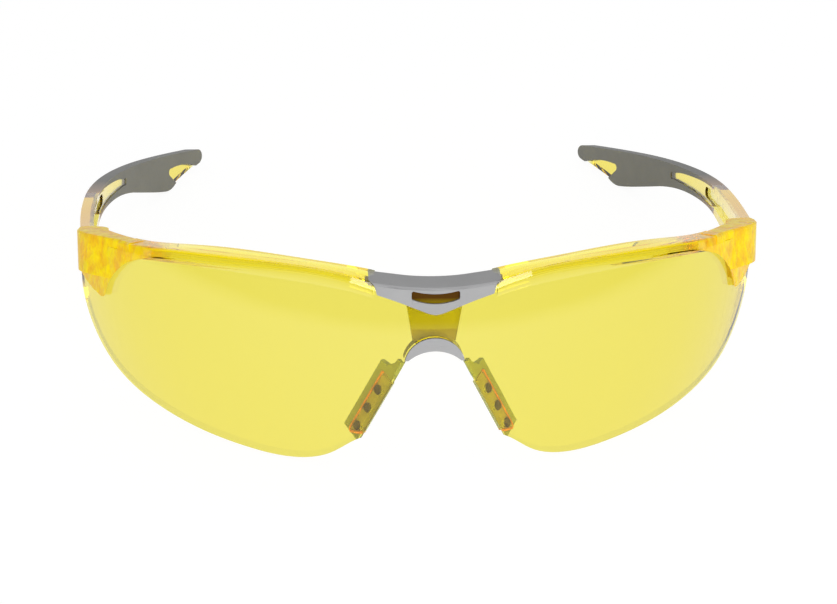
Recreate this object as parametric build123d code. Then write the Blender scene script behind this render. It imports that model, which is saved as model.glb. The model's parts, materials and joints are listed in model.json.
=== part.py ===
from build123d import *
import os
from math import asin, cos, degrees, radians, sin, sqrt

# Wrap-around safety glasses: a one-piece lens seated in a half frame, a soft bridge cover,
# a nose saddle with two studded pads, and two folding temples with soft sleeves.
# The pieces are drawn as worn: X to the wearer's left, Y back along the temples, Z up,
# with Z = 0 at the top of the hinges.  At the end the whole pair is tipped to stand on a table.
# All lengths are in millimetres and all angles in degrees.

# ---- lens: part of a torus ----
wrap_radius = 80.0        # plan radius of the outer face where it touches Y = 0
bow_radius = 125.0        # radius of the outer face seen from the side
lens_lean = 9.0           # how far the lens leans in towards the cheeks
lens_waist = -20.0        # height where the outer face touches Y = 0
lens_thickness = 2.2
lens_side_angle = 67.8    # how far the lens wraps round each side
lens_corner_height = -9.2  # top corner of the lens, just under the hinge block
lens_seat_gap = 0.05      # clearance between the lens and the groove that holds it
groove_depth = 1.0        # how far the top of the lens goes into the frame
lens_bead = 0.5           # height of the stiffening bead below the frame
bead_gap = 0.15           # clearance between the bead and the frame above it

# lower edge of the lens from the nose to the side: angles round the wrap and heights
lens_edge_angles = [11.5, 16.3, 22.8, 31.5, 40.7, 51.5, 61.1, 66.5]
lens_edge_heights = [-37.0, -40.8, -42.7, -41.6, -39.2, -35.0, -28.8, -20.5]
# side edge, up past the top corner: (angle from the lens's side angle, height)
lens_side_edge = [(0.0, -14.5), (-0.6, -9.2), (-2.0, 4.0)]

# top corner of the lens, from its side angle and corner height: (angle, height)
shoulder_angles = [-13.7, -9.4, -4.6, 4.0, 15.0]
shoulder_rises = [4.8, 0.4, 0.0, -0.3, -1.0]

# brow line stations: angle round the wrap, then (seam, crease, crown, bead width)
# seam is the frame's lower front edge, crease its upper front edge, crown its upper back edge
brow_angles = [8.9, 12.8, 19.7, 27.8, 37.8, 46.4, 52.9]
brow_heights = [
    (-4.1, -2.5, -1.0, 1.7),
    (-2.4, -1.0, -0.1, 2.0),
    (-0.9, 0.4, 0.9, 2.1),
    (-0.6, 1.0, 1.7, 1.6),
    (-0.7, 1.0, 1.6, 1.2),
    (-1.6, 0.5, 0.7, 0.7),
    (-2.6, 0.1, 0.3, 0.6),
]
bridge_angles = [0.0, 4.6, 8.9]
bridge_heights = [(-5.4, -4.4, -3.1), (-5.2, -4.1, -2.8), (-4.1, -3.3, -1.9)]

# ---- half frame ----
brow_lip = 0.8            # how far the frame stands proud of the lens in front
crease_setback = 0.2      # how far the front face leans back up to its crease
brow_depth = 4.4          # from the lens's outer face to the back of the brow ledge
brow_ledge = 1.5          # thickness of the brow ledge
brow_chamfer = 0.25       # eased edges along the brow
inner_wall = 1.2          # frame wall behind the lens
spine_top = -4.6          # the frame's spine behind the lens, down to the nose saddle
spine_bottom = -15.2
spine_top_half_width = 6.1
spine_bottom_half_width = 4.3
spine_thickness = 1.4

# ---- hinges ----
pin_angle = 62.9          # how far round the wrap the hinge pins stand
pin_outset = 0.1          # from the wrap radius out to the pins
pin_radius = 0.8
pin_head_radius = 1.25
pin_head_height = 0.6
pin_running_gap = 0.03
knuckle_radius = 2.4      # eye of the temple, round the pin
lug_radius = 3.0          # lugs of the frame, above and below the eye
hinge_gap = 0.15          # clearance all round the temple's tongue
tongue_top = -1.95
tongue_height = 3.9
block_top = 0.45
block_bottom = -8.4
block_angle = 12.9        # how far round the wrap the block runs ahead of its pin
block_wall = 1.8          # from the wrap radius in to the block's inner face
block_bulge = 0.5         # how far the block's side swells ahead of the temple
block_chamfer = 0.35
butt_setback = 3.5        # from the pin back to the face that stops the opening temple
butt_thickness = 2.6
lug_skin = 1.0            # closed skin over the blind top end of the pin
tab_top = -1.5            # where the tab over the lens corner meets the brow bar
wedge_wall = 3.0          # wall of the wedge behind the lens corner
wedge_drop = 0.2          # how far the wedge starts below the block

# front view of the block and its wedge: (distance out from the pin, height)
wedge_inner_edge = [(-14.3, -1.3), (-10.8, -2.4), (-7.8, -3.85), (-5.2, -6.4), (-3.5, -9.1),
                    (-2.4, -12.3)]
wedge_tip = [(-1.8, -13.2), (-0.8, -13.1)]
wedge_outer_edge = [(0.6, -12.3), (2.0, -11.3), (3.2, -10.0), (4.1, -8.2)]

# ---- temples ----
temple_outset = 5.0       # from the pin out to the temple's outer face where it is widest
temple_widest_setback = 34.5
temple_front_radius = 300.0
temple_rear_radius = 168.0
temple_thickness = 3.0
temple_length = 117.0     # from the pin to the tip
sleeve_setback = 40.5     # from the pin to the front end of the sleeve
sleeve_wall = 0.7         # soft wall over the sides of the core
sleeve_edge = 0.9         # soft wall over the top and bottom of the core
window_recess = 0.25      # how far the core stays below the sleeve in the windows
pocket_depth = 0.9        # recess along the inner face of the temple
neck_side = 1.3           # how far the tongue's neck reaches in from the pin
neck_run = 7.0            # how far the neck runs back into the arm
neck_root = 1.5           # how deep the neck is rooted in the arm

# side view of the temple: (distance behind the pin, height)
front_edge_top = -0.1
front_edge_bottom = -8.2
arm_top_edge = [(18.5, 0.25), (36.5, 1.1), (52.5, 1.5)]
arm_bottom_edge = [(52.5, -4.3), (42.5, -4.9), (30.5, -6.7), (16.5, -8.0)]
long_window_top = [(48.5, 0.7), (58.5, 0.35), (68.5, -0.4), (71.3, -0.9)]
long_window_bottom = [(71.3, -2.4), (62.5, -2.7), (53.5, -3.15), (46.5, -3.8)]
long_window_end = (72.8, -1.6)
long_window_mouth = (0.2, -4.2)  # heights of its open front end
pocket_top = [(7.5, -1.2), (22.5, -0.9), (36.5, -0.4), (46.5, -0.2)]
pocket_bottom = [(46.5, -2.8), (36.5, -4.0), (22.5, -5.4), (7.5, -6.2)]
pocket_back = (47.9, -1.5)
pocket_front = (6.1, -3.7)

# paddle at the tail of the temple and its window: (distance ahead of the tip, height)
paddle_top_edge = [(48.5, 1.4), (32.5, 0.95), (16.5, 0.2)]
paddle_bottom_edge = [(22.5, -8.5), (32.5, -6.65), (44.5, -4.8)]
tail_round = [(2.0, -0.55), (0.0, -2.3), (1.4, -4.4)]
tail_heel = [(12.9, -7.9), (15.3, -8.95), (18.0, -9.1)]
tip_window_top = [(2.6, -4.85), (5.4, -4.05), (11.0, -3.35), (15.0, -3.5)]
tip_window_round = [(16.2, -4.2), (15.9, -5.2)]
tip_window_foot = [(12.4, -7.9), (11.5, -9.6), (2.2, -6.6)]

# ---- bridge cover, saddle and pads ----
cover_half_width = 12.2   # at the crease
cover_flare = 0.8         # how much wider its back edge is
cover_corner = (11.5, -4.9)
cover_shoulder = (6.4, -6.8)
cover_thickness = 1.0
cover_point = -9.1        # lowest point of the cover's front
cover_point_half_width = 1.4
cover_point_rise = 0.3
cover_rise = 0.9          # how far the cap stands above the brow's crease and crown
cover_hold = 0.4          # how far the cover's front hangs on to the frame above its seam
cover_skin = 0.5          # how deep the cover's front reaches into the frame
slot_half_width = 4.9
slot_top = -4.0
slot_height = 1.8
slot_top_bow = 0.7
slot_bottom_bow = 1.0
slot_corner = 0.4
saddle_outer_radius = 6.25
saddle_outer_top = -14.3
saddle_inner_radius = 8.0
saddle_inner_top = -17.1
saddle_back = 5.6
saddle_front = 0.7        # how far the saddle stands proud of the lens
saddle_backing = 1.4
backing_top = -4.8        # top of the saddle's backing, behind the cover's slot
backing_bottom = -15.6
nose_top = (5.8, -19.2)   # top end of the straight side of the nose notch
nose_angle = 27.0         # slope of the notch sides from upright
nose_length = 20.0
flange_splay = 38.0       # how far the nose flanges turn outwards from front to back
flange_start = 5.7        # along the notch side, from nose_top
flange_length = 13.6
flange_slant = 2.4        # how much further down its rear edge runs
flange_width = 3.4
flange_thickness = 0.7
stud_pitch = 4.8
stud_start = 3.4
stud_depth = 1.7          # from the flange's root back to the studs
stud_radius = 0.85
stud_gap = 0.05
stud_proud = 0.15         # how far each stud shows in front of its flange
pad_thickness = 1.8
pad_gap = 0.05
pad_overhang = 1.3        # how far the pad reaches above the flange
pad_neck_thickness = 0.9

# section of the pad across the flange: (distance back from its root, share of its thickness)
pad_section = [(0.35, 0.0), (2.4, 1.0), (4.4, 1.05), (5.9, 0.55), (5.8, 0.0)]
# plan of the pad's neck on the flange: (distance down the notch, distance back)
pad_neck = [(-4.6, 0.8), (-4.6, 2.0), (-3.4, 2.2), (-1.3, 3.8), (-0.3, 2.4), (-0.3, 0.8)]

# the blank that the lens and its groove are cut from
shell_top = 10.0
shell_bottom = -50.0
shell_angle = 78.0
blade_reach = 12.0        # how far a radial cut reaches each side of the wrap radius

beyond = 200.0            # size of helper solids, larger than the glasses

# ---- worked out from the sizes above ----
pin_across = (wrap_radius + pin_outset) * sin(radians(pin_angle))
pin_back = wrap_radius - (wrap_radius + pin_outset) * cos(radians(pin_angle))
butt_plane = pin_back + butt_setback
temple_widest = pin_across + temple_outset
temple_widest_back = pin_back + temple_widest_setback
temple_tip_back = pin_back + temple_length
sleeve_start = pin_back + sleeve_setback
wedge_start = pin_across + wedge_inner_edge[0][0]
lowest_wedge = wedge_tip[0][1] - lens_thickness
brow_stations = list(zip(brow_angles, brow_heights))
bridge_stations = list(zip(bridge_angles, bridge_heights))


def place(radius, angle, height=0.0):
    """Point at a plan radius and angle round the wrap axis; angle 0 is straight ahead."""
    return (radius * sin(radians(angle)), wrap_radius - radius * cos(radians(angle)), height)


wrap_axis = Axis((0, wrap_radius, 0), (0, 0, 1))
bow_centre_back = bow_radius * cos(radians(lens_lean))
bow_centre_height = lens_waist + bow_radius * sin(radians(lens_lean))


def face_radius(height, outset=0.0):
    """Plan radius of the lens's outer face at a height, or of a surface outset from it."""
    rise = height - bow_centre_height
    return wrap_radius - bow_centre_back + sqrt((bow_radius + outset) ** 2 - rise**2)


def front_point(across, height, outset=0.0):
    """Point on the lens's outer face, or outset from it, by distance across and height."""
    radius = face_radius(height) + outset
    return place(radius, degrees(asin(across / radius)), height)


def wrapped_shell(outset, inset, low=shell_bottom, high=shell_top):
    """Solid between two surfaces parallel to the lens's outer face."""
    ring = Circle(bow_radius + outset) - Circle(bow_radius - inset)
    ring = Pos(bow_centre_back, bow_centre_height) * ring
    window = Pos(0, (high + low) / 2) * Rectangle(wrap_radius, high - low)
    section = (Plane.YZ * (ring & window)).rotate(wrap_axis, -shell_angle)
    return revolve(section, wrap_axis, 2 * shell_angle)


def front_across(angle, height):
    """Distance across of a point on the lens's outer face."""
    return face_radius(height) * sin(radians(angle))


def upright(points):
    """Points seen from the front, as (across, height), put into space."""
    return [(across, 0, height) for across, height in points]


def sideways(points):
    """Points seen from the side, as (back, height), put into space."""
    return [(0, back, height) for back, height in points]


def front_prism(edges, front=-beyond, back=beyond):
    """Solid from an outline seen from the front, run from front to back."""
    return extrude(Pos(0, front, 0) * make_face(edges), back - front, dir=(0, 1, 0))


def side_prism(face):
    """Solid from a face seen from the side, run across the left half."""
    return extrude(face, beyond, dir=(1, 0, 0))


def other_side(shape):
    return mirror(shape, Plane.YZ)


def both_sides(shape):
    return shape + other_side(shape)


def cut_radially(solid, outline):
    """Cuts a wrapped shell along an outline of (angle, height) and keeps the larger piece."""
    near = Spline(*[place(wrap_radius - blade_reach, angle, height) for angle, height in outline])
    far = Spline(*[place(wrap_radius + blade_reach, angle, height) for angle, height in outline])
    blade = Face.make_surface_from_curves(near.edge(), far.edge())
    pieces = split(solid, bisect_by=blade, keep=Keep.BOTH)
    return pieces.solids().sort_by(SortBy.VOLUME)[-1]


# ---- lens ----
def mirrored_outline(half):
    """Outline of (angle, height) points across both sides, from its left half."""
    return [(-angle, height) for angle, height in reversed(half[1:])] + half


def lens_top_outline(raised):
    """Top edge of the lens inside the frame, as (angle, height), from right to left."""
    stations = bridge_stations[:-1] + brow_stations[:-1]
    half = [(angle, heights[0] + groove_depth) for angle, heights in stations]
    half += [(lens_side_angle + turn, lens_corner_height + rise)
             for turn, rise in zip(shoulder_angles, shoulder_rises)]
    return mirrored_outline([(angle, height + raised) for angle, height in half])


def lens_shell(gap):
    """The lens before its lower edge is cut, grown all round by a gap."""
    shell = wrapped_shell(gap, lens_thickness + gap)
    return cut_radially(shell, lens_top_outline(gap))


def lens_lower_outline():
    half = [(0, lens_edge_heights[0])] + list(zip(lens_edge_angles, lens_edge_heights))
    half += [(lens_side_angle + turn, height) for turn, height in lens_side_edge]
    return mirrored_outline(half)


def brow_bead():
    """Rounded rib on the front of the lens, just under the frame."""
    root = lens_thickness / 4
    sections = []
    for angle, (seam, crease, crown, width) in brow_stations:
        top = seam - bead_gap
        profile = [(top, -root), (top, lens_bead / 2), (top - width / 4, lens_bead),
                   (top - width / 2, lens_bead * 0.8), (top - width, 0), (top - width, -root)]
        points = [place(face_radius(height) + proud, angle, height) for height, proud in profile]
        sections.append(make_face(Polyline(points, close=True).edges()))
    return loft(sections)


notch_run = Vector(sin(radians(nose_angle)), 0, -cos(radians(nose_angle)))


def along_notch(distance):
    """Point down the straight side of the nose notch, on the lens's outer face."""
    across = nose_top[0] + notch_run.X * distance
    height = nose_top[1] + notch_run.Z * distance
    return Vector(*front_point(across, height))


def nose_notch():
    """Everything the lens leaves open for the nose and its saddle."""
    top = Vector(nose_top[0], 0, nose_top[1])
    foot = top + notch_run * 2 * nose_length
    sides = Polyline(foot, top, (-top.X, 0, top.Z), (-foot.X, 0, foot.Z), close=True)
    centre = saddle_outer_top - saddle_outer_radius
    head = Plane.XZ * Pos(0, centre) * Circle(saddle_outer_radius + lens_seat_gap)
    head = extrude(head, beyond, both=True)
    roof = Pos(0, 0, nose_top[1] + beyond / 2) * Box(beyond, beyond, beyond)
    return front_prism(sides.edges()) + (head & roof)


def flange_frame():
    """Plane of the left nose flange: x runs down the notch, y from front to back."""
    start = along_notch(flange_start)
    end = along_notch(flange_start + flange_length)
    run = (end - start).normalized()
    outward = Vector(cos(radians(nose_angle)), 0, sin(radians(nose_angle)))
    splay = radians(flange_splay)
    depth = outward * sin(splay) + Vector(0, 1, 0) * cos(splay)
    normal = run.cross(depth).normalized()
    origin = start + Vector(0, lens_thickness, 0)
    return Plane(origin=origin, x_dir=run, z_dir=normal)


def nose_flange(plane):
    """Flange that turns back from the lens beside the nose, with three stud holes."""
    blade = Polyline((0, -flange_thickness), (flange_length, -flange_thickness),
                     (flange_length, 0), (flange_length + flange_slant, flange_width),
                     (0, flange_width), close=True)
    blade = make_face(blade.edges())
    blade = fillet(blade.vertices().group_by(Axis.Y)[-1], flange_width / 4)
    for place_on in stud_places():
        blade = blade - Pos(*place_on) * Circle(stud_radius + stud_gap)
    return extrude(plane * blade, flange_thickness)


def stud_places():
    return [(stud_start + step * stud_pitch, stud_depth) for step in range(3)]


def make_lens():
    lens = cut_radially(lens_shell(0), lens_lower_outline())
    lens = lens + both_sides(brow_bead() - front_prism(hinge_outline()))
    lens = lens - nose_notch()
    inside = wrapped_shell(-lens_thickness / 2, wrap_radius / 3)
    return lens + both_sides(nose_flange(flange_frame()) & inside)


# ---- half frame ----
def brow_section(angle, seam, crease, crown, depth, lip):
    """Section of the brow bar in the plane square to the wrap."""
    lowest = seam - inner_wall / 2
    back = face_radius(seam) - depth
    points = [place(face_radius(seam) + lip, angle, seam),
              place(face_radius(crease) + lip - crease_setback, angle, crease),
              place(back, angle, crown),
              place(back, angle, crown - brow_ledge),
              place(face_radius(seam) - lens_thickness - inner_wall, angle, lowest)]
    section = make_face(Polyline(points, close=True).edges())
    crest = [section.vertices().sort_by_distance(corner)[0] for corner in points[1:3]]
    return chamfer(crest, brow_chamfer)


def brow_bar():
    outer = [brow_section(angle, seam, crease, crown, brow_depth, brow_lip)
             for angle, (seam, crease, crown, bead) in brow_stations]
    middle = [brow_section(angle, seam, crease, crown, brow_depth, brow_lip)
              for angle, (seam, crease, crown) in bridge_stations]
    return both_sides(loft(middle)) + both_sides(loft(outer))


def hinge_outline():
    """Front view of the hinge block and the wedge that reaches down over the lens."""
    def from_pin(points):
        return upright([(pin_across + out, height) for out, height in points])
    inner = Spline(*from_pin(wedge_inner_edge))
    tip = ThreePointArc(inner @ 1, *from_pin(wedge_tip))
    outer = Polyline(tip @ 1, *from_pin(wedge_outer_edge))
    foot = (outer @ 1).Z
    far = pin_across + temple_outset + butt_thickness
    roof = block_top + brow_ledge
    rest = Polyline(outer @ 1, (far, 0, foot), (far, 0, roof), (wedge_start, 0, roof), inner @ 0)
    return inner.edges() + tip.edges() + outer.edges() + rest.edges()


def block_plan():
    """Plan of the hinge block, from the brow bar to the butt face."""
    start_angle = pin_angle - block_angle
    middle_angle = pin_angle - block_angle / 2
    proud = face_radius(0) + brow_lip
    flank = temple_outer_face(butt_plane)
    outer_start = Vector(*place(proud, start_angle))
    outer_middle = place(proud + block_bulge / 2, middle_angle)
    outer = Spline(outer_start, outer_middle, (flank + block_bulge, pin_back, 0),
                   (flank, butt_plane, 0))
    inner_face = wrap_radius - block_wall
    inner_start = place(inner_face, start_angle)
    inner_end = place(inner_face, degrees(asin(pin_across / inner_face)) - 1)
    inner = ThreePointArc(inner_end, place(inner_face, middle_angle), inner_start)
    ear = flank - butt_thickness
    rim = Polyline(outer @ 1, (ear, butt_plane, 0), (ear, pin_back, 0), inner_end)
    back = Line(inner_start, outer_start)
    plan = make_face(outer.edges() + rim.edges() + inner.edges() + back.edges())
    return plan + Pos(pin_across, pin_back) * Circle(lug_radius)


def hinge_block():
    """Block that carries the temple, with the wedge over and behind the lens corner."""
    block = extrude(Pos(0, 0, block_bottom) * block_plan(), block_top - block_bottom)
    rim = block.faces().sort_by(Axis.Z)[-1].edges().sort_by(SortBy.LENGTH)
    block = chamfer(rim[-1], block_chamfer)
    tab = wrapped_shell(brow_lip, lens_thickness + inner_wall, low=lowest_wedge, high=tab_top)
    wedge = wrapped_shell(-lens_thickness, lens_thickness + wedge_wall, low=lowest_wedge,
                          high=block_bottom - wedge_drop)
    ahead = Pos(beyond / 2, butt_plane - beyond / 2, 0) * Box(beyond, beyond, beyond)
    return (block + ((tab + wedge) & ahead)) & front_prism(hinge_outline())


def plan_rectangle(left, front, right, back):
    return Pos((left + right) / 2, (front + back) / 2) * Rectangle(right - left, back - front)


def neck_outer_side():
    """Distance across to the outer side of the tongue's neck."""
    return temple_outer_face(butt_plane) - temple_thickness + pin_outset


def tongue_slot():
    """Room for the temple's tongue as it swings from open to folded."""
    floor = Pos(0, 0, tongue_top - tongue_height - hinge_gap)
    inner = pin_across - 3 * knuckle_radius
    outer = neck_outer_side() + hinge_gap
    sweep = Pos(pin_across, pin_back) * Circle(knuckle_radius + hinge_gap)
    opened = plan_rectangle(inner, pin_back, outer, butt_plane + butt_thickness)
    folded = plan_rectangle(inner, pin_back - neck_side - hinge_gap, pin_across, butt_plane)
    return extrude(floor * (sweep + opened + folded), tongue_height + 2 * hinge_gap)


def pin_shape(radius, head_radius):
    """Hinge pin, or the hole for it when drawn with the same radii."""
    top = block_top - lug_skin
    shank = Pos(0, 0, block_bottom) * extrude(Circle(radius), top - block_bottom)
    head = Pos(0, 0, block_bottom) * extrude(Circle(head_radius), pin_head_height)
    return Pos(pin_across, pin_back) * (shank + head)


def frame_spine():
    """Web of the frame behind the lens, from the brow to the nose saddle."""
    outline = Polyline(*upright([(-spine_top_half_width, spine_top),
                                 (spine_top_half_width, spine_top),
                                 (spine_bottom_half_width, spine_bottom),
                                 (-spine_bottom_half_width, spine_bottom)]), close=True)
    depth = lens_thickness + lens_seat_gap
    web = wrapped_shell(-depth, depth + spine_thickness, low=spine_bottom + spine_bottom, high=0)
    return web & front_prism(outline.edges())


def make_frame(cover, saddle):
    slot = tongue_slot()
    frame = brow_bar() + both_sides(hinge_block())
    frame = frame - lens_shell(lens_seat_gap)
    frame = frame - both_sides(slot) - both_sides(pin_shape(pin_radius, pin_head_radius))
    return frame + frame_spine() - cover - saddle


def make_pin():
    return pin_shape(pin_radius, pin_head_radius)


# ---- temples ----
def temple_outer_face(back):
    """Distance across to the temple's outer face, ahead of its widest point."""
    behind = back - temple_widest_back
    return temple_widest - temple_front_radius + sqrt(temple_front_radius**2 - behind**2)


def temple_band(outer_skin, inner_skin):
    """Plan of the temple between its outer and inner faces, each taken in by a skin."""
    def line(inset):
        front = temple_front_radius - inset
        rear = temple_rear_radius - inset
        front_centre = temple_widest - temple_front_radius
        rear_centre = temple_widest - temple_rear_radius
        front_turn = degrees(asin((temple_widest_back - butt_plane - hinge_gap) / front))
        past_tip = temple_tip_back + temple_thickness
        rear_turn = degrees(asin((past_tip - temple_widest_back) / rear))
        nose = CenterArc((front_centre, temple_widest_back), front, -front_turn, front_turn)
        tail = CenterArc((rear_centre, temple_widest_back), rear, 0, rear_turn)
        return nose, tail
    outer = line(outer_skin)
    inner = line(temple_thickness - inner_skin)
    ends = [Line(outer[0] @ 0, inner[0] @ 0), Line(outer[1] @ 1, inner[1] @ 1)]
    return make_face([edge for part in (*outer, *inner, *ends) for edge in part.edges()])


def from_pin_back(points, drop=0.0):
    """Points of the temple's side view, from (distance behind the pin, height)."""
    return sideways([(pin_back + behind, height - drop) for behind, height in points])


def temple_side(inset=0.0):
    """Side view of the temple: a slim arm that swells to a paddle behind the ear."""
    front = butt_plane + hinge_gap
    tail = temple_tip_back - inset

    def from_tip(points, drop):
        return sideways([(tail - ahead, height - drop) for ahead, height in points])
    top = Spline((0, front, front_edge_top - inset), *from_pin_back(arm_top_edge, inset),
                 *from_tip(paddle_top_edge + tail_round[:1], inset))
    tip = ThreePointArc(top @ 1, *from_tip(tail_round[1:2], 0), *from_tip(tail_round[2:], -inset))
    slant = Line(tip @ 1, *from_tip(tail_heel[:1], -inset))
    heel = ThreePointArc(slant @ 1, *from_tip(tail_heel[1:], -inset))
    bottom = Spline(heel @ 1, *from_tip(paddle_bottom_edge, -inset),
                    *from_pin_back(arm_bottom_edge, -inset),
                    (0, front, front_edge_bottom + inset))
    nose = Line(bottom @ 1, top @ 0)
    return make_face([edge for part in (top, tip, slant, heel, bottom, nose)
                      for edge in part.edges()])


def long_window(forward):
    """Long window through the sleeve, open towards the hinge."""
    upper, lower = long_window_mouth
    top = Spline((0, forward, upper), *from_pin_back(long_window_top))
    end = ThreePointArc(top @ 1, *from_pin_back([long_window_end, long_window_bottom[0]]))
    bottom = Spline(*from_pin_back(long_window_bottom), (0, forward, lower))
    front = Line(bottom @ 1, top @ 0)
    return make_face(top.edges() + end.edges() + bottom.edges() + front.edges())


def tip_window():
    """Window at the paddle, open along its slanted lower edge."""
    top, corner, foot = [sideways([(temple_tip_back - ahead, height) for ahead, height in points])
                         for points in (tip_window_top, tip_window_round, tip_window_foot)]
    top = Spline(*top)
    end = ThreePointArc(top @ 1, *corner)
    rest = Polyline(end @ 1, *foot, top @ 0)
    return make_face(top.edges() + end.edges() + rest.edges())


def inner_pocket():
    """Recess along the inner face of the bare arm."""
    top = Spline(*from_pin_back(pocket_top))
    end = ThreePointArc(top @ 1, *from_pin_back([pocket_back, pocket_bottom[0]]))
    bottom = Spline(*from_pin_back(pocket_bottom))
    front = ThreePointArc(bottom @ 1, *from_pin_back([pocket_front]), top @ 0)
    return make_face(top.edges() + end.edges() + bottom.edges() + front.edges())


def temple_solid(skin=0.0, edge_skin=0.0):
    """Temple between its faces and edges, taken in by a skin on the sides and edges."""
    slab = extrude(temple_band(skin, skin), beyond / 2, both=True)
    return slab & side_prism(temple_side(edge_skin))


def behind(start):
    return Pos(0, start + beyond / 2, 0) * Box(beyond, beyond, beyond)


def temple_tongue():
    """Knuckle on the hinge pin, with the neck that joins it to the arm."""
    floor = Pos(0, 0, tongue_top - tongue_height)
    eye = Pos(pin_across, pin_back) * Circle(knuckle_radius)
    inner = pin_across - neck_side
    outer = neck_outer_side()
    start = butt_plane + hinge_gap
    end = start + neck_run
    rooted = outer + neck_root
    neck = Polyline((inner, pin_back, 0), (inner, start + neck_side, 0), (outer, end, 0),
                    (rooted, end, 0), (rooted, start, 0), (outer, start, 0),
                    (outer, pin_back, 0), close=True)
    tongue = extrude(floor * (eye + make_face(neck.edges())), tongue_height)
    bore = Pos(pin_across, pin_back) * Cylinder(pin_radius + pin_running_gap, beyond)
    return tongue - bore


def make_temple():
    """Rigid arm: bare ahead of the sleeve, a slim core inside it."""
    full = temple_solid()
    overlap = 2 * sleeve_wall
    bare = full - behind(sleeve_start)
    core = temple_solid(sleeve_wall, sleeve_edge) & behind(sleeve_start - overlap)
    flush = temple_solid(window_recess, window_recess) & behind(sleeve_start - overlap / 2)
    windows = side_prism(long_window(sleeve_start - overlap)) + side_prism(tip_window())
    arm = bare + core + (flush & windows)
    pocket_floor = extrude(temple_band(-temple_thickness, pocket_depth), beyond / 2, both=True)
    pocket = side_prism(inner_pocket()) - pocket_floor
    return arm - pocket + temple_tongue()


def make_sleeve(arm):
    """Soft sleeve moulded over the rear of the arm, with its two windows."""
    sleeve = temple_solid() & behind(sleeve_start)
    openings = side_prism(long_window(sleeve_start - 5)) + side_prism(tip_window())
    return sleeve - openings - arm


# ---- bridge cover, saddle and pads ----
def cover_outline():
    """Front view of the bridge cover: flat ends and a shallow point in the middle."""
    crease = bridge_heights[-1][1]
    wide = cover_half_width + cover_flare
    half = [(wide + cover_flare, crease + 4), (wide, crease + 2), (cover_half_width, crease),
            cover_corner, cover_shoulder,
            (cover_point_half_width, cover_point + cover_point_rise)]
    other_half = [(-across, height) for across, height in reversed(half)]
    return Polyline(*upright(half + [(0, cover_point)] + other_half), close=True)


def cover_slot():
    """Slot in the front of the cover, bowed like its crease."""
    foot = slot_top - slot_height
    top = ThreePointArc(*upright([(-slot_half_width, slot_top), (0, slot_top - slot_top_bow),
                                  (slot_half_width, slot_top)]))
    bottom = ThreePointArc(*upright([(slot_half_width, foot), (0, foot - slot_bottom_bow),
                                     (-slot_half_width, foot)]))
    ends = [Line(top @ 1, bottom @ 0), Line(bottom @ 1, top @ 0)]
    face = make_face(top.edges() + bottom.edges() + ends[0].edges() + ends[1].edges())
    face = fillet(face.vertices(), slot_corner)
    return front_prism(face.edges(), front=-bow_radius / 10, back=lens_thickness)


def make_cover():
    """Soft cap over the middle of the brow, with a slot in its front."""
    lip = brow_lip + cover_thickness
    prism = front_prism(cover_outline().edges())
    sections = [brow_section(angle, crease, crease + cover_rise, crown + cover_rise, brow_depth, lip)
                for angle, (seam, crease, crown) in bridge_stations]
    cap = both_sides(loft(sections))
    low = cover_point - cover_thickness
    plate = wrapped_shell(lip, cover_skin - lip, low=low) & below_crease()
    foot = wrapped_shell(lip, 0, low=low, high=bridge_heights[0][0] + cover_hold)
    return ((cap + plate + foot) & prism) - cover_slot() - lens_shell(lens_seat_gap)


def below_crease():
    """Everything below the cover's crease line."""
    half = [(front_across(angle, crease), crease + cover_hold)
            for angle, (seam, crease, crown) in bridge_stations]
    points = [(-across, height) for across, height in reversed(half[1:])] + half
    crease = Spline(*upright(points))
    wide = half[-1][0]
    deep = cover_point - cover_rise
    rest = Polyline(crease @ 1, (wide, 0, deep), (-wide, 0, deep), crease @ 0)
    return front_prism(crease.edges() + rest.edges())


def make_saddle():
    """Soft arch over the nose with its backing up behind the lens."""
    outer_centre = saddle_outer_top - saddle_outer_radius
    inner_centre = saddle_inner_top - saddle_inner_radius
    arch = Pos(0, outer_centre) * Circle(saddle_outer_radius)
    arch -= Pos(0, inner_centre) * Circle(saddle_inner_radius)
    arch &= Pos(0, nose_top[1] + beyond / 2) * Rectangle(beyond, beyond)
    arch = extrude(Plane.XZ * arch, beyond, both=True)
    low = nose_top[1] - saddle_back
    arch = arch & wrapped_shell(saddle_front, saddle_back, low=low, high=spine_bottom + saddle_back)
    outline = Polyline(*upright([(-spine_top_half_width, backing_top),
                                 (spine_top_half_width, backing_top),
                                 (spine_bottom_half_width, backing_bottom),
                                 (-spine_bottom_half_width, backing_bottom)]), close=True)
    front = lens_thickness + lens_seat_gap + spine_thickness + lens_seat_gap
    backing = wrapped_shell(-front, front + saddle_backing, low=low, high=0)
    backing = backing & front_prism(outline.edges())
    return arch + backing


def make_pad():
    """Soft nose pad with three press studs and a neck up to the saddle, on the left side."""
    plane = flange_frame()
    section = [(back, -pad_gap - share * (pad_thickness - pad_gap)) for back, share in pad_section]
    section = make_face(Polyline(section, close=True).edges())
    end_on = Plane(origin=plane.origin, x_dir=plane.y_dir, z_dir=plane.x_dir)
    body = extrude(end_on * Pos(0, 0, -pad_overhang) * section,
                   flange_length + flange_slant + pad_overhang)
    neck = make_face(Polyline(pad_neck, close=True).edges())
    pad = body + extrude(plane * Pos(0, 0, -pad_gap) * neck, -pad_neck_thickness)
    for along, depth in stud_places():
        stud = extrude(plane * Pos(along, depth, -pad_thickness / 2) * Circle(stud_radius),
                       pad_thickness / 2 + flange_thickness + stud_proud)
        pad = pad + stud
    return pad


# ---- assembly ----
def resting_tilt(front_piece, rear_piece):
    """Angle to tip the glasses so that lens and temples rest on one flat surface."""
    tilt = 0.0
    for step in range(4):
        front_box = (Rot(X=-tilt) * front_piece).bounding_box()
        rear_box = (Rot(X=-tilt) * rear_piece).bounding_box()
        run = rear_box.max.Y - front_box.min.Y
        tilt += degrees((rear_box.min.Z - front_box.min.Z) / run)
    return tilt


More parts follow.
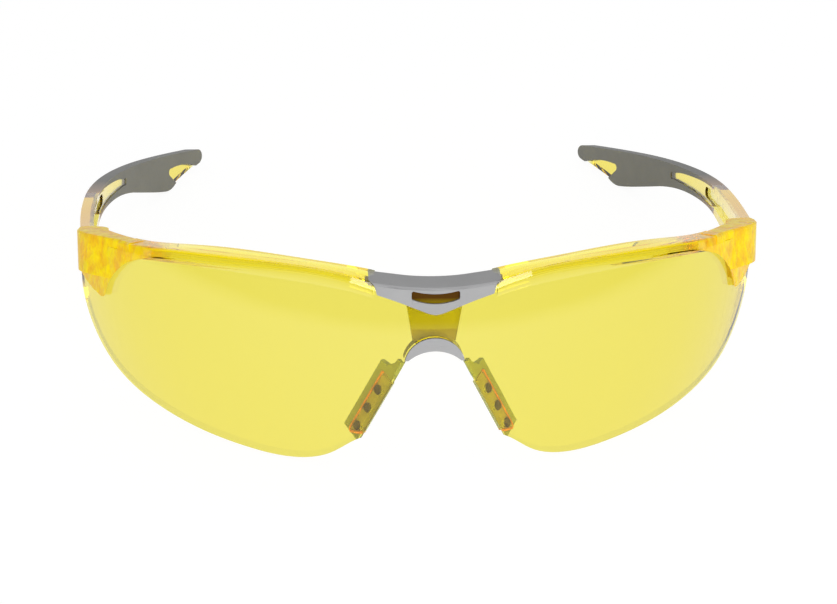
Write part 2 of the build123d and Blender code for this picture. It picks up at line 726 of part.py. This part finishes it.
cover = make_cover()
saddle = make_saddle()
lens = make_lens()
arm = make_temple()
sleeve = make_sleeve(arm)
pad = make_pad()
pin = make_pin()
pieces = {
    "lens": lens,
    "brow_frame": make_frame(cover, saddle),
    "bridge_cover": cover,
    "nose_saddle": saddle,
    "left_nose_pad": pad,
    "right_nose_pad": other_side(pad),
    "left_temple_arm": arm,
    "right_temple_arm": other_side(arm),
    "left_temple_sleeve": sleeve,
    "right_temple_sleeve": other_side(sleeve),
    "left_hinge_pin": pin,
    "right_hinge_pin": other_side(pin),
}

tilt = resting_tilt(lens, sleeve)
tipped = Rot(X=-tilt)
box = Compound(children=[tipped * piece for piece in pieces.values()]).bounding_box()
stand = Pos(-(box.min.X + box.max.X) / 2, -(box.min.Y + box.max.Y) / 2, -box.min.Z) * tipped

os.makedirs("parts", exist_ok=True)
for name, piece in pieces.items():
    export_step(stand * piece, f"parts/{name}.step")

for side in (1, -1):
    hinge = stand * Pos(side * pin_across, pin_back, tongue_top - tongue_height / 2)
    print("hinge at", hinge.position, "axis", (stand * Pos(0, 0, 1)).position - stand.position)
print("tilt", round(tilt, 3), "size", box.size)
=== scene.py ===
import bpy
import bmesh
import json
from math import cos, radians, sin
from mathutils import Matrix, Vector


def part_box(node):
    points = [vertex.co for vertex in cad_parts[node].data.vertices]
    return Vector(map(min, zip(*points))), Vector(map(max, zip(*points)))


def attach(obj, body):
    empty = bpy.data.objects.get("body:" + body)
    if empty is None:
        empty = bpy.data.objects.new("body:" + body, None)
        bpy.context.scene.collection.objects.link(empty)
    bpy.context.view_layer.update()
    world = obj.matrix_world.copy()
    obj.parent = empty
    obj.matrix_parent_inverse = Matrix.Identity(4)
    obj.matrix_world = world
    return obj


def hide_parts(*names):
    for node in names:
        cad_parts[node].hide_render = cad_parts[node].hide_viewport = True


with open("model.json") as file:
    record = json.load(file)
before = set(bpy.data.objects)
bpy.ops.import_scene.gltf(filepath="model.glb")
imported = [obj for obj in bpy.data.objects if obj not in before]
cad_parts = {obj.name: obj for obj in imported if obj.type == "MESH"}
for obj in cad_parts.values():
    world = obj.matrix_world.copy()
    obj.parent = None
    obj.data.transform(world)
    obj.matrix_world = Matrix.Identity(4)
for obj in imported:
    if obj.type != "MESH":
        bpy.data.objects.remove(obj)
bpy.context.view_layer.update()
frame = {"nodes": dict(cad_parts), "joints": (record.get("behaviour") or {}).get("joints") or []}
nodes = frame["nodes"]
print("frame loaded:", len(nodes), "parts")

# the glasses as worn: x to the wearer's left, y back along the temples, z up along the hinge axis
leftHinge = next(joint for joint in frame["joints"] if joint["name"] == "left_temple_fold")
hingePlace = Vector(leftHinge["pos_m"])
hingeWorn = Vector((0.071306, 0.043511, -0.0039))   # the same point, as worn
upWorn = Vector(leftHinge["axis"]).normalized()
acrossWorn = Vector((1, 0, 0))
backWorn = upWorn.cross(acrossWorn)


def fromWorn(point):
    steps = Vector(point) - hingeWorn
    return hingePlace + acrossWorn * steps.x + backWorn * steps.y + upWorn * steps.z


def toWorn(place):
    steps = place - hingePlace
    return hingeWorn + Vector((steps.dot(acrossWorn), steps.dot(backWorn), steps.dot(upWorn)))


# the lens's outer face, bent both ways
lensWrap = {
    "radius": 0.080,       # round the face
    "crown": 0.125,        # up and down
    "lean": 9.0,           # degrees
    "waist": -0.020,       # height that the radius and the lean belong to
}


def offLens(across, height, out):
    lean = radians(lensWrap["lean"])
    hub = lensWrap["radius"] - lensWrap["crown"] * cos(lean)
    rise = height - lensWrap["waist"] - lensWrap["crown"] * sin(lean)
    reach = hub + ((lensWrap["crown"] + out) ** 2 - rise ** 2) ** 0.5
    return fromWorn((across, lensWrap["radius"] - (reach ** 2 - across ** 2) ** 0.5, height))


view = {
    "target": (-0.0034, -0.0013, -0.0067),   # as worn
    "distance": 0.450,
    "turned": 3.867,       # degrees round from straight ahead
    "raised": 13.0,        # degrees above the temples' line
    "focalLength": 95.87,
    "sensor": 36.0,
    "nearest": 0.01,
}


def placeCamera():
    turned = radians(view["turned"])
    raised = radians(view["raised"])
    flat = acrossWorn * sin(turned) + backWorn * cos(turned)
    forward = flat * cos(raised) - upWorn * sin(raised)
    right = forward.cross(upWorn).normalized()
    above = right.cross(forward)
    camera = bpy.data.objects.new("camera", bpy.data.cameras.new("camera"))
    bpy.context.collection.objects.link(camera)
    spin = Matrix((right, above, -forward)).transposed().to_4x4()
    camera.matrix_world = Matrix.Translation(fromWorn(view["target"]) - forward * view["distance"]) @ spin
    camera.data.lens = view["focalLength"]
    camera.data.sensor_width = view["sensor"]
    camera.data.clip_start = view["nearest"]
    bpy.context.scene.camera = camera


placeCamera()
print("camera placed")


# shader maths: a Value is one socket
class Value:
    def __init__(self, sheet, socket):
        self.sheet = sheet
        self.socket = socket

    def maths(self, operation, other, swapped=False, clamp=False):
        values = [other, self] if swapped else [self, other]
        return self.sheet.node("ShaderNodeMath", {"operation": operation, "use_clamp": clamp}, values)

    def __add__(self, other):
        return self.maths("ADD", other)

    def __radd__(self, other):
        return self.maths("ADD", other)

    def __sub__(self, other):
        return self.maths("SUBTRACT", other)

    def __rsub__(self, other):
        return self.maths("SUBTRACT", other, swapped=True)

    def __mul__(self, other):
        return self.maths("MULTIPLY", other)

    def __rmul__(self, other):
        return self.maths("MULTIPLY", other)

    def __truediv__(self, other):
        return self.maths("DIVIDE", other)

    def __rtruediv__(self, other):
        return self.maths("DIVIDE", other, swapped=True)

    def clamped(self):
        return self.maths("ADD", 0.0, clamp=True)

    def size(self):
        return self.maths("ABSOLUTE", 0.0)

    def over(self, other):
        return self.maths("MAXIMUM", other)

    def power(self, other):
        return self.maths("POWER", other)


# a Sheet is one material or world, with its nodes
class Sheet:
    def __init__(self, owner):
        owner.use_nodes = True
        self.tree = owner.node_tree
        self.tree.nodes.clear()

    def link(self, socket, value):
        if isinstance(value, Value):
            self.tree.links.new(value.socket, socket)
        elif value is not None:
            socket.default_value = value

    def node(self, kind, settings, inputs, output=0):
        made = self.tree.nodes.new(kind)
        for name, value in settings.items():
            if name == "stops":
                setStops(made.color_ramp, value)
            else:
                setattr(made, name, value)
        named = inputs.items() if isinstance(inputs, dict) else enumerate(inputs)
        for name, value in named:
            self.link(made.inputs[name], value)
        return Value(self, made.outputs[output]) if made.outputs else None

    def place(self):
        return self.node("ShaderNodeTexCoord", {}, {}, "Object")

    def along(self, axis, spot=None):
        return self.node("ShaderNodeSeparateXYZ", {}, {"Vector": spot or self.place()}, axis)

    # a grain is a noise's scale, detail and roughness
    def noise(self, grain, stretch=None):
        scale, detail, rough = grain
        spot = self.place()
        if stretch:
            spot = self.node("ShaderNodeMapping", {}, {"Vector": spot, "Scale": stretch})
        inputs = {"Vector": spot, "Scale": scale, "Detail": detail, "Roughness": rough}
        return self.node("ShaderNodeTexNoise", {}, inputs)

    def ramp(self, value, stops):
        return self.node("ShaderNodeValToRGB", {"stops": stops}, {"Fac": value})

    def blend(self, share, first, second):
        inputs = {0: share, 6: first, 7: second}   # the colour sockets of a Mix node
        return self.node("ShaderNodeMix", {"data_type": "RGBA"}, inputs, 2)

    def bump(self, height, depth):
        return self.node("ShaderNodeBump", {}, {"Height": height, "Distance": depth})

    def lightPath(self, name):
        return self.node("ShaderNodeLightPath", {}, {}, name)

    def finish(self, surface, volume=None, kind="ShaderNodeOutputMaterial"):
        self.node(kind, {}, {"Surface": surface, "Volume": volume})


def setStops(ramp, stops):
    while len(ramp.elements) < len(stops):
        ramp.elements.new(0.5)
    for element, (position, colour) in zip(ramp.elements, stops):
        element.position = position
        element.color = colour


clearYellow = {
    "refraction": 1.585,
    "roughness": 0.015,
    "handling": 0.02,      # how much rougher handling leaves it
    "handled": (900.0, 4.0, 0.7),
    "ripple": 0.00004,     # height of the moulding ripples
    "ripples": (60.0, 3.0, 0.55),
    "shade": (0.92, 0.92, 0.92, 1.0),   # what a shadow ray keeps at the two faces
    # red, green and blue taken away per metre of plastic
    "lens": (55.0, 100.0, 900.0),
    "frame": (13.0, 54.0, 1100.0),
    "temple": (36.0, 88.0, 760.0),
}
# the cloudy, golden plastic at the hinge blocks, with a painted glow
hingeAmber = {
    "starts": 0.054,       # distance from the middle of the glasses
    "grows": 0.010,
    "even": 0.51,          # share of it everywhere, and how much the mottle adds
    "mottled": 0.68,
    "mottle": (420.0, 3.0, 0.65),
    "stretch": (1, 1, 0.55),
    "dark": (0.35, (1.0, 0.58, 0.0, 1.0)),   # up to this on the mottle, and light past the next
    "light": (0.6, (1.0, 0.78, 0.0, 1.0)),
    "depth": 0.0005,
    "roughness": 0.3,
    "shine": 0.12,
    "paintedGlow": 0.06,          # painted glow: the golden tint also shines as emission, though the plastic is no lamp
}


def yellowMaterial(name, absorbs, amber=None):
    material = bpy.data.materials.new(name)
    sheet = Sheet(material)
    density = max(absorbs)
    passed = [1 - value / density for value in absorbs] + [1.0]
    volume = sheet.node("ShaderNodeVolumeAbsorption", {}, {"Color": passed, "Density": density})
    handled = sheet.noise(clearYellow["handled"])
    surface = sheet.node("ShaderNodeBsdfPrincipled", {}, {
        "Base Color": (1, 1, 1, 1),
        "Transmission Weight": 1.0,
        "Roughness": clearYellow["roughness"] + handled * clearYellow["handling"],
        "IOR": clearYellow["refraction"],
        "Normal": sheet.bump(sheet.noise(clearYellow["ripples"]), clearYellow["ripple"]),
    })
    if amber:
        mottle = sheet.noise(amber["mottle"], amber["stretch"])
        depth = (sheet.along("X").size() - amber["starts"]) / amber["grows"]
        share = depth.clamped() * (amber["even"] + mottle * amber["mottled"])
        tint = sheet.ramp(mottle, [amber["dark"], amber["light"]])
        warm = sheet.node("ShaderNodeBsdfPrincipled", {}, {
            "Base Color": tint,
            # painted glow: the golden tint is also given out as light
            "Emission Color": tint,
            "Emission Strength": amber["paintedGlow"],
            "Roughness": amber["roughness"],
            "Specular IOR Level": amber["shine"],
            "Normal": sheet.bump(mottle, amber["depth"]),
        })
        surface = sheet.node("ShaderNodeMixShader", {}, [share.clamped(), surface, warm])
    passing = sheet.node("ShaderNodeBsdfTransparent", {}, {"Color": clearYellow["shade"]})
    mixed = sheet.node("ShaderNodeMixShader", {}, [sheet.lightPath("Is Shadow Ray"), surface, passing])
    sheet.finish(mixed, volume)
    return material


turnedSteel = {
    "marks": (1500.0, 2.0, 0.5),
    "stretch": (1, 1, 12),   # rings round the pin
    "dark": (0.3, (0.5, 0.5, 0.51, 1)),
    "light": (0.7, (0.64, 0.64, 0.65, 1)),
    "roughness": 0.25,
    "dulling": 0.2,
    "depth": 0.00001,
}


def steelMaterial():
    material = bpy.data.materials.new("pinSteel")
    sheet = Sheet(material)
    marks = sheet.noise(turnedSteel["marks"], turnedSteel["stretch"])
    steel = sheet.node("ShaderNodeBsdfPrincipled", {}, {
        "Base Color": sheet.ramp(marks, [turnedSteel["dark"], turnedSteel["light"]]),
        "Metallic": 1.0,
        "Roughness": turnedSteel["roughness"] + marks * turnedSteel["dulling"],
        "Normal": sheet.bump(marks, turnedSteel["depth"]),
    })
    sheet.finish(steel)
    return material


def dress(name, material):
    mesh = nodes[name].data
    mesh.materials.clear()
    mesh.materials.append(material)


dress("lens", yellowMaterial("lensYellow", clearYellow["lens"]))
dress("brow_frame", yellowMaterial("frameYellow", clearYellow["frame"], hingeAmber))
armYellow = yellowMaterial("templeYellow", clearYellow["temple"])
pinSteel = steelMaterial()
for side in ("left", "right"):
    dress(side + "_temple_arm", armYellow)
    dress(side + "_hinge_pin", pinSteel)
print("clear parts and pins dressed")


# the skin that all soft and small pieces share
greySkin = {
    "clouds": (120.0, 4.0, 0.6),
    "darkAt": 0.3,
    "lightAt": 0.7,
    "grain": (2600.0, 3.0, 0.6),
    "depth": 0.00004,
    "dulling": 0.25,       # how far the grain changes the roughness
    "shine": 0.5,
}


# a band changes the colour before or after a place along one axis
def softMaterial(name, look):
    material = bpy.data.materials.new(name)
    sheet = Sheet(material)
    clouds = sheet.noise(greySkin["clouds"])
    grain = sheet.noise(greySkin["grain"])
    colour = sheet.ramp(clouds, [(greySkin["darkAt"], look["dark"]), (greySkin["lightAt"], look["light"])])
    if "band" in look:
        band = look["band"]
        past = sheet.along(band["axis"]) - band["start"] + (clouds - 0.5) * band["ragged"]
        share = (past / band["length"]).clamped()
        colour = sheet.blend(share, band.get("before", colour), band.get("after", colour))
    rubber = sheet.node("ShaderNodeBsdfPrincipled", {}, {
        "Base Color": colour,
        "Roughness": look["roughness"] + (grain - 0.5) * greySkin["dulling"],
        "Specular IOR Level": look.get("shine", greySkin["shine"]),
        "Normal": sheet.bump(grain, greySkin["depth"]),
    })
    sheet.finish(rubber)
    return material


# a new piece rides on a body
def addPiece(name, mesh, material, body):
    data = bpy.data.meshes.new(name)
    mesh.to_mesh(data)
    mesh.free()
    data.materials.append(material)
    piece = bpy.data.objects.new(name, data)
    bpy.context.collection.objects.link(piece)
    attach(piece, body)
    return piece


moulding = {
    "merge": 0.000001,
    "flat": 0.5,           # degrees within which faces become one
    "sharp": 28.0,         # degrees past which an edge is bevelled
    "segments": 3,
    "evenness": 100,
}


def mergedCopy(part):
    mesh = bmesh.new()
    mesh.from_mesh(nodes[part].data)
    bmesh.ops.remove_doubles(mesh, verts=mesh.verts, dist=moulding["merge"])
    bmesh.ops.dissolve_limit(mesh, angle_limit=radians(moulding["flat"]), verts=mesh.verts,
                             edges=mesh.edges)
    return mesh


# a soft piece stands in for its solid; short edges hold its rounding back, far below what is asked
def soften(part, name, body, material, rounding):
    mesh = mergedCopy(part)
    corners = [edge for edge in mesh.edges if edge.calc_face_angle(0.0) > radians(moulding["sharp"])]
    bmesh.ops.bevel(mesh, geom=corners, offset=rounding, offset_type="OFFSET", affect="EDGES",
                    segments=moulding["segments"], profile=0.5, clamp_overlap=True, material=-1)
    bmesh.ops.recalc_face_normals(mesh, faces=mesh.faces)
    for face in mesh.faces:
        face.smooth = True
        face.material_index = 0
    piece = addPiece(name, mesh, material, body)
    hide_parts(part)
    evened = piece.modifiers.new("evened", "WEIGHTED_NORMAL")
    evened.weight = moulding["evenness"]
    return piece


bridgeCover = {
    "light": (0.37, 0.37, 0.375, 1),
    "dark": (0.34, 0.34, 0.345, 1),
    "roughness": 0.62,
    "rounding": 0.00025,
    # how far the corners of its ends move outwards, from this far across; places as worn
    "from": 0.0085,
    "rear": 0.0018,
    "seam": 0.0008,
    "foot": 0.0005,
    "frontDepth": -0.0009,
    "rearDepth": 0.0038,
    "seamHeight": -0.0021,
    "creaseHeight": -0.0029,
    "footHeight": -0.0050,
}


def portion(value, start, end):
    return min(max((value - start) / (end - start), 0.0), 1.0)


def shapeCover(piece):
    cover = bridgeCover
    widest = max(abs(vert.co.x) for vert in piece.data.vertices)
    for vert in piece.data.vertices:
        place = toWorn(vert.co)
        out = portion(abs(place.x), cover["from"], widest)
        deep = portion(place.y, cover["frontDepth"], cover["rearDepth"])
        low = portion(place.z, cover["creaseHeight"], cover["footHeight"])
        high = portion(place.z, cover["creaseHeight"], cover["seamHeight"])
        front = cover["seam"] * high + cover["foot"] * low
        shift = out * (cover["rear"] * deep + front * (1 - deep))
        vert.co.x += shift if vert.co.x > 0 else -shift


coverGrey = softMaterial("coverGrey", bridgeCover)
shapeCover(soften("bridge_cover", "bridgeCover", "front", coverGrey, bridgeCover["rounding"]))

noseSaddle = {
    "light": (0.37, 0.37, 0.375, 1),
    "dark": (0.34, 0.34, 0.345, 1),
    "roughness": 0.6,
    "rounding": 0.0003,
    # painted light: its thin web over the notch, behind the lens, is painted paler and greener than its
    # edge, for how it is lit through the lens
    "band": {"axis": "Z", "start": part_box("nose_saddle")[0].z + 0.0066, "length": 0.0004, "ragged": 0.0,
             "after": (0.50, 0.56, 0.45, 1)},
}
saddleGrey = softMaterial("saddleGrey", noseSaddle)
soften("nose_saddle", "noseSaddle", "front", saddleGrey, noseSaddle["rounding"])

nosePad = {
    "light": (0.46, 0.53, 0.44, 1),
    "dark": (0.42, 0.49, 0.41, 1),
    "roughness": 0.55,
    "rounding": 0.0002,
}
templeSleeve = {
    "light": (0.22, 0.22, 0.212, 1),
    "dark": (0.195, 0.195, 0.188, 1),
    "roughness": 0.6,
    "rounding": 0.0003,
    # paler and warmer at its front end, where it runs out thin over the arm
    "band": {"axis": "Y", "start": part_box("left_temple_sleeve")[0].y, "length": 0.016, "ragged": 0.004,
             "before": (0.56, 0.43, 0.34, 1)},
}
padGrey = softMaterial("padGrey", nosePad)
sleeveGrey = softMaterial("sleeveGrey", templeSleeve)
for side in ("left", "right"):
    soften(side + "_nose_pad", side + "NosePad", "front", padGrey, nosePad["rounding"])
    soften(side + "_temple_sleeve", side + "Sleeve", side + "_temple", sleeveGrey, templeSleeve["rounding"])
print("soft pieces made")


# a dark sheet at the bottom of the bridge cover's slot, coloured as the shaded plastic seen there: painted
# shade
slotFloor = {
    "across": 0.0052,
    "heights": (-0.0072, -0.0036),   # as worn
    "out": 0.0010,         # off the lens
    "thickness": 0.00015,
    "columns": 24,
    "rows": 6,
    "light": (0.25, 0.17, 0.0, 1),
    "dark": (0.19, 0.125, 0.0, 1),
    "roughness": 0.5,
    "shine": 0.05,
    # painted shade: brown above a strip of olive along its lower edge, where the cover's cap shades the
    # slot
    "band": {"axis": "Z", "start": offLens(0, -0.0062, 0).z, "length": 0.0008, "ragged": 0.0008,
             "after": (0.09, 0.035, 0.0, 1)},
}


def makeSlotFloor():
    mesh = bmesh.new()
    bmesh.ops.create_grid(mesh, x_segments=slotFloor["columns"], y_segments=slotFloor["rows"], size=1.0)
    low, high = slotFloor["heights"]
    for vert in mesh.verts:
        height = low + (high - low) * (vert.co.y + 1) / 2
        vert.co = offLens(vert.co.x * slotFloor["across"], height, slotFloor["out"])
    bmesh.ops.solidify(mesh, geom=mesh.faces, thickness=slotFloor["thickness"])
    bmesh.ops.recalc_face_normals(mesh, faces=mesh.faces)
    addPiece("slotFloor", mesh, softMaterial("slotShadedOlive", slotFloor), "front")


makeSlotFloor()


# painted shade: dark heads on the pads' studs, seen through their holes, coloured for the shade in the
# holes rather than the studs' grey. Three to a pad, but the left pad has one more face that is taken for a
# stud's end, on the side towards the nose
studHead = {
    "sides": 10,           # a stud's flat end has more corners than this, and an area between these
    "least": 0.0000015,
    "most": 0.0000030,
    "radius": 0.00105,     # against the flange, and at its outer rim
    "rim": 0.00085,
    "height": 0.0003,
    "segments": 32,
    # painted shade: dark olive-brown for the shadowed holes
    "light": (0.12, 0.09, 0.02, 1),
    "dark": (0.06, 0.045, 0.01, 1),
    "roughness": 0.4,
}


def studHeads(side):
    ends = mergedCopy(side + "_nose_pad")
    flats = [face for face in ends.faces
             if len(face.verts) > studHead["sides"]
             and studHead["least"] < face.calc_area() < studHead["most"]]
    print(side, "stud ends:", len(flats))
    heads = bmesh.new()
    for face in flats:
        turn = face.normal.to_track_quat("Z", "Y").to_matrix().to_4x4()
        spot = Matrix.Translation(face.calc_center_median() + face.normal * studHead["height"] / 2)
        bmesh.ops.create_cone(heads, cap_ends=True, segments=studHead["segments"],
                              radius1=studHead["radius"], radius2=studHead["rim"],
                              depth=studHead["height"], matrix=spot @ turn)
    ends.free()
    bmesh.ops.recalc_face_normals(heads, faces=heads.faces)
    for face in heads.faces:
        face.smooth = len(face.verts) == 4
    addPiece(side + "StudHeads", heads, studShade, "front")


studShade = softMaterial("studShade", studHead)
studHeads("left")
studHeads("right")


# painted light: orange tubes along the edges of the lens's nose flanges, for the glow the clear plastic
# carries to its edges
flangeRim = {
    "notchTop": (0.0058, -0.0192),   # as worn, across and up
    "slope": 27.0,         # degrees from upright of the notch's sides
    "splay": 38.0,         # degrees that the flange turns outwards from straight back
    "start": 0.0057,       # down the notch's side
    "length": 0.0136,
    "slant": 0.0024,       # how much further down its back edge reaches
    "width": 0.0034,
    "corner": 0.0009,
    "bend": ((1.4, 0.0), (0.7, 0.25), (0.6, 0.8)),   # points round the corner: up and forwards, in corners
    "lens": 0.0022,        # the lens's thickness
    "middle": 0.00035,     # half the flange's thickness
    "radius": 0.00032,
    "roundness": 3,
    # painted glow: bright orange for the light gathered at the flange's edge
    "light": (1.0, 0.45, 0.0, 1),
    "dark": (1.0, 0.36, 0.0, 1),
    "roughness": 0.35,
    "shine": 0.2,
}
slope = radians(flangeRim["slope"])
outOfNotch = acrossWorn * cos(slope) + upWorn * sin(slope)


def onNotch(distance):
    across, height = flangeRim["notchTop"]
    return offLens(across + sin(slope) * distance, height - cos(slope) * distance, 0)


def flangePoint(down, back, inside):
    rim = flangeRim
    root = onNotch(rim["start"])
    run = (onNotch(rim["start"] + rim["length"]) - root).normalized()
    splay = radians(rim["splay"])
    normal = run.cross(outOfNotch * sin(splay) + backWorn * cos(splay)).normalized()
    depth = normal.cross(run)
    return root + backWorn * rim["lens"] + run * down + depth * back + normal * inside


def flangeRims(side, sign):
    rim = flangeRim
    far = rim["length"] + rim["slant"]
    bend = [(far - rim["corner"] * up, rim["width"] - rim["corner"] * forwards)
            for up, forwards in rim["bend"]]
    path = [(0.0, rim["width"]), *bend, (rim["length"], 0.0)]
    spots = [flangePoint(down, back, rim["middle"]) for down, back in path]
    for spot in spots:
        spot.x *= sign
    line = bpy.data.curves.new(side + "RimLine", "CURVE")
    line.dimensions = "3D"
    line.bevel_depth = rim["radius"]
    line.bevel_resolution = rim["roundness"]
    line.use_fill_caps = True
    spline = line.splines.new("POLY")
    spline.points.add(len(spots) - 1)
    for point, spot in zip(spline.points, spots):
        point.co = (*spot, 1.0)
    wire = bpy.data.objects.new(side + "RimLine", line)
    swept = bpy.data.meshes.new_from_object(wire)
    mesh = bmesh.new()
    mesh.from_mesh(swept)
    bpy.data.objects.remove(wire)
    bpy.data.curves.remove(line)
    bpy.data.meshes.remove(swept)
    bmesh.ops.remove_doubles(mesh, verts=mesh.verts, dist=moulding["merge"])
    bmesh.ops.recalc_face_normals(mesh, faces=mesh.faces)
    for face in mesh.faces:
        face.smooth = len(face.verts) == 4
    addPiece(side + "FlangeRim", mesh, paintedRimGlow, "front")


# painted light: a paler, lit copy of the pads' colour, on thin sheets where the pads show through the
# lens's edge and each flange
padLitSkin = {
    "front": 0.0002,       # behind the lens's outer face
    "back": 0.0031,        # across the flange
    "slanted": 0.9,        # of the flange's slant
    "ends": 0.0003,
    "inset": 0.00006,
    "thickness": 0.00004,
    "columns": 12,
    # painted light: paler than the pads' own colour
    "light": (0.76, 0.80, 0.58, 1),
    "dark": (0.70, 0.74, 0.54, 1),
    "roughness": 0.55,
}


def padLitSkins(side, sign):
    mesh = bmesh.new()
    bmesh.ops.create_grid(mesh, x_segments=padLitSkin["columns"], y_segments=2, size=1.0)
    inset = padLitSkin["inset"]
    for vert in mesh.verts:
        row = round(vert.co.y)   # -1 at the lens's outer face, 0 where the flange starts, 1 at its back
        slant = flangeRim["slant"] * padLitSkin["slanted"] if row == 1 else 0.0
        length = flangeRim["length"] + slant - 2 * padLitSkin["ends"]
        down = padLitSkin["ends"] + length * (vert.co.x + 1) / 2
        if row == -1:
            vert.co = onNotch(flangeRim["start"] + down) + backWorn * padLitSkin["front"] + outOfNotch * inset
        else:
            vert.co = flangePoint(down, padLitSkin["back"] * row, inset)
        vert.co.x *= sign
    bmesh.ops.solidify(mesh, geom=mesh.faces, thickness=padLitSkin["thickness"])
    bmesh.ops.recalc_face_normals(mesh, faces=mesh.faces)
    addPiece(side + "PadSkin", mesh, padLit, "front")


paintedRimGlow = softMaterial("paintedRimGlow", flangeRim)
padLit = softMaterial("padLit", padLitSkin)
for side, sign in (("left", 1), ("right", -1)):
    flangeRims(side, sign)
    padLitSkins(side, sign)
print("slot floor, stud heads, rims and pad skins made")


studio = {
    "floorReach": 4.0,
    "floorDrop": 0.0001,
    "floorPaint": (0.9, 0.9, 0.9, 1),
    "shadow": 0.12,        # how much of the floor's shading shows
    "floorWhite": 1.06,    # makes up for what that share takes away
    # what shiny parts see of the floor: bright to this distance, dark past the next
    "litNear": 0.20,
    "litFar": 0.29,
    "litCentre": -0.03,
    "litBehind": 8.0,      # and brighter again behind, by this much a metre
    "frontDark": 0.12,     # what they see in front
    "around": 0.55,        # the soft light from all sides
    "behind": 4.0,         # what shiny parts see brightens this steeply to the back, and overhead
    "overhead": 3.0,
    "overheadFrom": 1.6,
    "bounces": 32,
}


def makeFloor():
    mesh = bmesh.new()
    bmesh.ops.create_grid(mesh, x_segments=1, y_segments=1, size=studio["floorReach"])
    bmesh.ops.translate(mesh, verts=mesh.verts, vec=(0, 0, -studio["floorDrop"]))
    data = bpy.data.meshes.new("floor")
    mesh.to_mesh(data)
    mesh.free()
    floor = bpy.data.objects.new("floor", data)
    bpy.context.collection.objects.link(floor)
    material = bpy.data.materials.new("paleFloor")
    sheet = Sheet(material)
    paint = sheet.node("ShaderNodeBsdfDiffuse", {}, {"Color": studio["floorPaint"]})
    white = sheet.node("ShaderNodeEmission", {}, {"Color": (1, 1, 1, 1), "Strength": studio["floorWhite"]})
    across = sheet.along("X")
    back = sheet.along("Y") - studio["litCentre"]
    away = (across * across + back * back).power(0.5)
    near = (studio["litFar"] - away) / (studio["litFar"] - studio["litNear"])
    bright = near.over(back * studio["litBehind"]).clamped().over(studio["frontDark"])
    mirrored = sheet.node("ShaderNodeEmission", {}, {"Color": (1, 1, 1, 1), "Strength": bright})
    seen = sheet.lightPath("Is Camera Ray").over(sheet.lightPath("Is Transmission Ray"))
    plain = sheet.node("ShaderNodeMixShader", {}, [seen * (1 - studio["shadow"]), paint, white])
    onlyMirrored = sheet.lightPath("Is Glossy Ray") * (1 - sheet.lightPath("Is Transmission Ray"))
    sheet.finish(sheet.node("ShaderNodeMixShader", {}, [onlyMirrored, plain, mirrored]))
    data.materials.append(material)


def makeWorld():
    world = bpy.data.worlds.new("studio")
    bpy.context.scene.world = world
    sheet = Sheet(world)
    around = sheet.node("ShaderNodeBackground", {}, {"Color": (1, 1, 1, 1), "Strength": studio["around"]})
    heading = sheet.node("ShaderNodeTexCoord", {}, {}, "Generated")
    behind = (sheet.along("Y", heading) * studio["behind"]).clamped()
    overhead = (sheet.along("Z", heading) * studio["overhead"] - studio["overheadFrom"]).clamped()
    level = behind.over(overhead).over(studio["frontDark"])
    mirror = sheet.node("ShaderNodeBackground", {}, {"Color": (1, 1, 1, 1), "Strength": level})
    white = sheet.node("ShaderNodeBackground", {}, {"Color": (1, 1, 1, 1), "Strength": 1.0})
    mirrored = sheet.node("ShaderNodeMixShader", {}, [sheet.lightPath("Is Glossy Ray"), around, mirror])
    seen = sheet.lightPath("Is Camera Ray").over(sheet.lightPath("Is Transmission Ray"))
    sheet.finish(sheet.node("ShaderNodeMixShader", {}, [seen, mirrored, white]),
                 kind="ShaderNodeOutputWorld")


frontLight = {
    "place": (0.1, -0.9, 0.25),
    "aimedAt": (0, -0.04, 0.02),
    "size": (0.8, 0.4),
    "watts": 5.0,
}


def placeFrontLight():
    light = bpy.data.lights.new("frontLight", "AREA")
    light.shape = "RECTANGLE"
    light.size, light.size_y = frontLight["size"]
    light.energy = frontLight["watts"]
    lamp = bpy.data.objects.new("frontLight", light)
    bpy.context.collection.objects.link(lamp)
    lamp.location = frontLight["place"]
    aim = Vector(frontLight["aimedAt"]) - Vector(frontLight["place"])
    lamp.rotation_euler = aim.to_track_quat("-Z", "Y").to_euler()


makeFloor()
makeWorld()
placeFrontLight()
bpy.context.scene.view_settings.view_transform = "Standard"
bpy.context.scene.cycles.max_bounces = studio["bounces"]
bpy.context.scene.cycles.transmission_bounces = studio["bounces"]
bpy.context.scene.cycles.glossy_bounces = studio["bounces"]
print("studio made")
